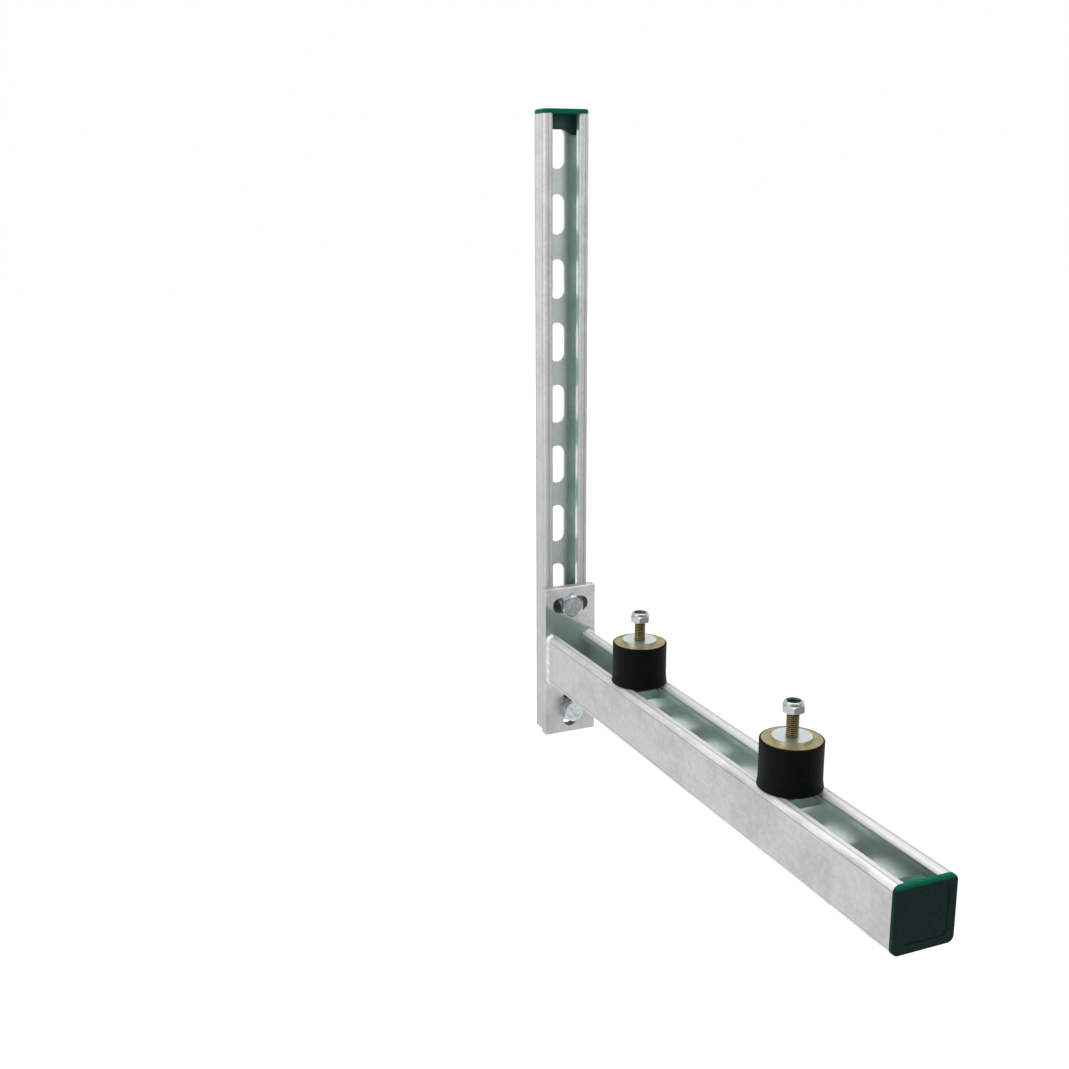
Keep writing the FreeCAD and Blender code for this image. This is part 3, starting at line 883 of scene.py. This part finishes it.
class BRACKET_OT_make_bolts(bpy.types.Operator):
    """Make the plate bolts with their threads, and plate the washer and nuts"""
    bl_idname = "bracket.make_bolts"
    bl_label = "Plate Bolts"

    # Segments round a head, the chamfer of a bolt's tip and how far its rod reaches into the head
    segments = 72
    tip = 1.0 * MM
    sunk = 0.5 * MM

    def execute(self, context):
        bolts = context.scene.bracket_bolts
        plated = plated_finish("bolt_zinc", bolts.tint, roughness=0.22, mottle=0.8)
        for node, turn in (("upper_bolt", bolts.upper_turn), ("lower_bolt", bolts.lower_turn)):
            low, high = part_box(node)
            seat = Vector((0, low.y + bolts.head, (low.z + high.z) / 2))
            reach = high.y - seat.y
            bm = bmesh.new()
            skin(bm, hex_head_rings(bolts.across_flats, bolts.head, turn, self.segments))
            rod = thread_rings(bolts.radius, bolts.pitch, -self.sunk, reach, self.tip)
            skin(bm, [[Vector((p.x, p.y, -p.z)) for p in points] for points in rod])
            place = facing(OUT, seat)
            add_piece(node + "_steel", bm, place, plated, "zinc_steel", node)
        dress(plated_finish("washer_zinc", bolts.tint, roughness=0.34), "lower_washer")
        nut = plated_finish("nut_zinc", shade(bolts.tint, 0.8), roughness=0.42)
        dress(nut, "upper_channel_nut", "lower_channel_nut")
        return {"FINISHED"}


class BRACKET_OT_make_mounts(bpy.types.Operator):
    """Make the rubbers and the threaded studs, and finish the other pieces of both mounts"""
    bl_idname = "bracket.make_mounts"
    bl_label = "Rubber Mounts"

    # Segments round a rubber
    segments = 96

    # Radius and thickness of the discs and of the studs' flat heads, and the chamfer of a stud's tip
    disc_r = 18.8 * MM
    disc_t = 2.0 * MM
    head_r = 6.5 * MM
    head_t = 2.5 * MM
    tip = 1.0 * MM

    # Soft edge of the rubber, height and width of its foot bead and depth of its waist
    edge = 0.8 * MM
    foot = 3.5 * MM
    bead = 0.6 * MM
    waist = 0.12 * MM

    def stud(self, mounts, reach):
        """Stud that stands on its disc's outer face, with a flat head behind the disc."""
        under = -self.disc_t
        head = ((under - self.head_t, self.head_r), (under, self.head_r), (under, mounts.radius))
        rings = [ring(height, radius, THREAD_SEGMENTS) for height, radius in head]
        rings += thread_rings(mounts.radius, mounts.pitch, 0.0, reach, self.tip)
        bm = bmesh.new()
        skin(bm, rings)
        return bm

    def rubber(self, low, high):
        """Moulded body: pockets for the discs, a foot bead, soft edges and a slight waist."""
        tall = high.z - low.z
        foot_r = (high.x - low.x) / 2
        body_r = foot_r - self.bead
        edge, pocket = self.edge, self.disc_t + self.head_t
        profile = [(pocket, self.head_r), (self.disc_t, self.head_r),
                   (self.disc_t, self.disc_r), (0, self.disc_r)]
        for turn in range(-90, 1, 18):
            at = math.radians(turn)
            profile.append((edge + edge * math.sin(at), foot_r - edge + edge * math.cos(at)))
        for i in range(1, 16):
            t = i / 16
            height = edge + (tall - 2 * edge) * t
            flare = self.bead * math.exp(-(height / self.foot) ** 2)
            profile.append((height, body_r + flare - self.waist * math.sin(math.pi * t)))
        for turn in range(0, 91, 15):
            at = math.radians(turn)
            profile.append((tall - edge + edge * math.sin(at), body_r - edge + edge * math.cos(at)))
        profile += [(tall, self.disc_r), (tall - self.disc_t, self.disc_r),
                    (tall - self.disc_t, self.head_r), (tall - pocket, self.head_r)]
        bm = bmesh.new()
        skin(bm, [ring(height, radius, self.segments) for height, radius in profile])
        return bm

    def execute(self, context):
        mounts = context.scene.bracket_mounts
        rubber = rubber_finish("mount_rubber", mounts.rubber)
        straw = passivated_finish("passivated_film", mounts.passivated)
        # The channel nuts' tint is brightened as painted light for the shade inside the arm
        slide = passivated_finish("channel_nut_film", mounts.slide)
        plated = plated_finish("mount_zinc", mounts.plated, roughness=0.21)
        washer = plated_finish("washer_skin", mounts.washer, roughness=0.30)
        nylon = nylon_finish("ring_nylon", mounts.nylon)
        for side in SIDES:
            low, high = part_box(side + "_rubber")
            middle = (low + high) / 2
            foot = Vector((0, middle.y, low.z))
            add_piece(side + "_rubber_body", self.rubber(low, high), facing(UP, foot), rubber, "rubber",
                      side + "_rubber")
            top = Vector((0, middle.y, high.z))
            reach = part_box(side + "_top_stud")[1].z - top.z
            thread = add_piece(side + "_top_thread", self.stud(mounts, reach), facing(UP, top), straw,
                               "passivated_steel", side + "_top_stud")
            mark_roots(thread.data, top, mounts.radius, mounts.pitch)
            reach = foot.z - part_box(side + "_bottom_stud")[0].z
            add_piece(side + "_bottom_thread", self.stud(mounts, reach), facing(-UP, foot), straw,
                      "passivated_steel", side + "_bottom_stud")
            dress(straw, side + "_top_disc", side + "_bottom_disc")
            dress(slide, side + "_channel_nut")
            dress(plated, side + "_lock_nut")
            dress(washer, side + "_washer")
            dress(nylon, side + "_nylon_ring")
        return {"FINISHED"}


class BRACKET_OT_set_stage(bpy.types.Operator):
    """Lay the floor, and set the lamps, the plain surroundings and the camera"""
    bl_idname = "bracket.set_stage"
    bl_label = "Stage"

    # Each lamp's name, size, place and the point that it lights
    lamps = (
        ("top", (1.6, 1.6), (0.2, 0.1, 1.9), (0, -0.25, -0.1)),
        ("left", (1.4, 1.2), (-2.6, -0.5, 1.0), (0, -0.2, 0)),
        ("front", (0.8, 0.8), (0.9, -2.4, 0.7), (0, -0.2, 0)),
    )

    # Half width of the floor, the reach of the shadows on it, and how far off it is plain white
    floor_half = 9.0
    shadow_reach = 0.6
    white_from = 3.0

    # As metal mirrors it, the floor is dark in front of the first place and pale behind the second
    dark_until = -1.5
    pale_from = -0.6

    # Colours of the paper, of its faint blotches and of its dark part in metal
    pale = (0.80, 0.80, 0.80)
    blotch = (0.77, 0.77, 0.77)
    dark = (0.28, 0.30, 0.30)

    # How far up or back a direction points where the room in metal begins to brighten and where it is white
    room_until = -0.55
    white_above = 0.25

    def floor(self, stage):
        """Pale paper that looks white from far off and keeps the bracket's shadow."""
        bm = bmesh.new()
        bmesh.ops.create_grid(bm, x_segments=8, y_segments=8, size=self.floor_half)
        mesh = bpy.data.meshes.new("floor")
        bm.to_mesh(mesh)
        bm.free()
        mesh.materials.append(self.paper(stage))
        thing = bpy.data.objects.new("floor", mesh)
        thing.location.z = FOOT - stage.floor_drop
        bpy.context.scene.collection.objects.link(thing)

    def paper(self, stage):
        paper = Finish("floor_paper", 0.0, 0.9)
        rays = paper.node("ShaderNodeLightPath").outputs
        under = paper.span(paper.split(paper.place)[1], self.dark_until, self.pale_from)
        tone = paper.mix(paper.cloud(0.4, 2.0), self.pale, self.blotch)
        dim = paper.times(paper.minus(1.0, under), rays["Is Glossy Ray"])
        paper.paint(paper.mix(dim, tone, self.dark))
        away = paper.node("ShaderNodeVectorMath", operation="LENGTH")
        paper.feed(away.inputs[0], paper.place)
        seen = paper.span(away.outputs["Value"], self.shadow_reach, self.white_from, 0.5, 1.0)
        seen = paper.times(seen, rays["Is Camera Ray"])
        mirrored = paper.times(paper.times(under, stage.floor_glow), rays["Is Glossy Ray"])
        glow = paper.node("ShaderNodeEmission")
        paper.feed(glow.inputs["Strength"], paper.plus(seen, mirrored))
        paper.feed(glow.inputs["Color"], paper.mix(rays["Is Glossy Ray"], (1, 1, 1), stage.warm))
        both = paper.node("ShaderNodeAddShader")
        paper.feed(both.inputs[0], paper.shader.outputs[0])
        paper.feed(both.inputs[1], glow.outputs[0])
        paper.feed(paper.tree.nodes["Material Output"].inputs["Surface"], both.outputs[0])
        return paper.material

    def lamp(self, name, watts, size, place, target):
        data = bpy.data.lights.new(name, "AREA")
        data.energy = watts
        data.shape = "RECTANGLE"
        data.size, data.size_y = size
        thing = bpy.data.objects.new(name, data)
        thing.location = place
        away = Vector(place) - Vector(target)
        thing.rotation_euler = away.to_track_quat("Z", "Y").to_euler()
        bpy.context.scene.collection.objects.link(thing)

    def surroundings(self, stage):
        """White to the camera, and to metal except for a darker room in front of the bracket."""
        world = bpy.data.worlds.new("plain_room")
        world.use_nodes = True
        room = Patterns(world.node_tree, "Generated")
        rays = room.node("ShaderNodeLightPath").outputs
        places = room.split(room.place)
        up_or_back = room.plus(places[1], places[2])
        mirrored, white = room.node("ShaderNodeBackground"), room.node("ShaderNodeBackground")
        for light in (mirrored, white):
            room.feed(light.inputs["Color"], (1, 1, 1))
        level = room.span(up_or_back, self.room_until, self.white_above, stage.room, 1.0)
        room.feed(mirrored.inputs["Strength"], level)
        plain = room.tree.nodes["Background"]
        room.feed(plain.inputs["Color"], stage.surround)
        shown = plain.outputs[0]
        for ray, light in (("Glossy", mirrored), ("Transmission", white), ("Camera", white)):
            choice = room.node("ShaderNodeMixShader")
            for socket, value in zip(choice.inputs, (rays[f"Is {ray} Ray"], shown, light.outputs[0])):
                room.feed(socket, value)
            shown = choice.outputs[0]
        room.feed(room.tree.nodes["World Output"].inputs["Surface"], shown)
        bpy.context.scene.world = world

    def camera(self, stage):
        turn, tilt = stage.azimuth, stage.elevation
        back = Vector((math.sin(turn) * math.cos(tilt), -math.cos(turn) * math.cos(tilt), math.sin(tilt)))
        right = UP.cross(back).normalized()
        over = back.cross(right)
        level = Matrix((right, over, back)).transposed()
        data = bpy.data.cameras.new("camera")
        data.lens = stage.lens
        data.sensor_width = CAMERA_FRAME
        data.clip_start = 0.01
        thing = bpy.data.objects.new("camera", data)
        turned = level.to_4x4() @ Matrix.Rotation(stage.roll, 4, "Z")
        thing.matrix_world = Matrix.Translation(Vector(stage.camera_place)) @ turned
        bpy.context.scene.collection.objects.link(thing)
        bpy.context.scene.camera = thing

    def execute(self, context):
        stage = context.scene.bracket_stage
        self.floor(stage)
        for name, size, place, target in self.lamps:
            self.lamp(name + "_lamp", getattr(stage, name + "_light"), size, place, target)
        self.surroundings(stage)
        self.camera(stage)
        context.scene.view_settings.view_transform = "Standard"
        return {"FINISHED"}


STEPS = (
    BRACKET_OT_dress_channels,
    BRACKET_OT_lay_welds,
    BRACKET_OT_dress_caps,
    BRACKET_OT_make_bolts,
    BRACKET_OT_make_mounts,
    BRACKET_OT_set_stage,
)


class BRACKET_PT_steps(bpy.types.Panel):
    """Lists the bracket's pieces and their sizes and colours"""
    bl_idname = "BRACKET_PT_steps"
    bl_label = "Wall Bracket"
    bl_space_type = "VIEW_3D"
    bl_region_type = "UI"
    bl_category = "Bracket"

    def draw(self, context):
        for step, group in zip(STEPS, SETTINGS):
            box = self.layout.box()
            box.operator(step.bl_idname)
            settings = getattr(context.scene, group)
            for name in SETTINGS[group].__annotations__:
                box.prop(settings, name)


def register():
    for group, made in SETTINGS.items():
        bpy.utils.register_class(made)
        setattr(bpy.types.Scene, group, PointerProperty(type=made))
    for made in (*STEPS, BRACKET_PT_steps):
        bpy.utils.register_class(made)


def unregister():
    for made in reversed((*STEPS, BRACKET_PT_steps)):
        bpy.utils.unregister_class(made)
    for group, made in reversed(SETTINGS.items()):
        delattr(bpy.types.Scene, group)
        bpy.utils.unregister_class(made)


def main():
    register()
    bpy.ops.bracket.dress_channels()
    bpy.ops.bracket.lay_welds()
    bpy.ops.bracket.dress_caps()
    bpy.ops.bracket.make_bolts()
    bpy.ops.bracket.make_mounts()
    bpy.ops.bracket.set_stage()


if __name__ == "__main__":
    main()
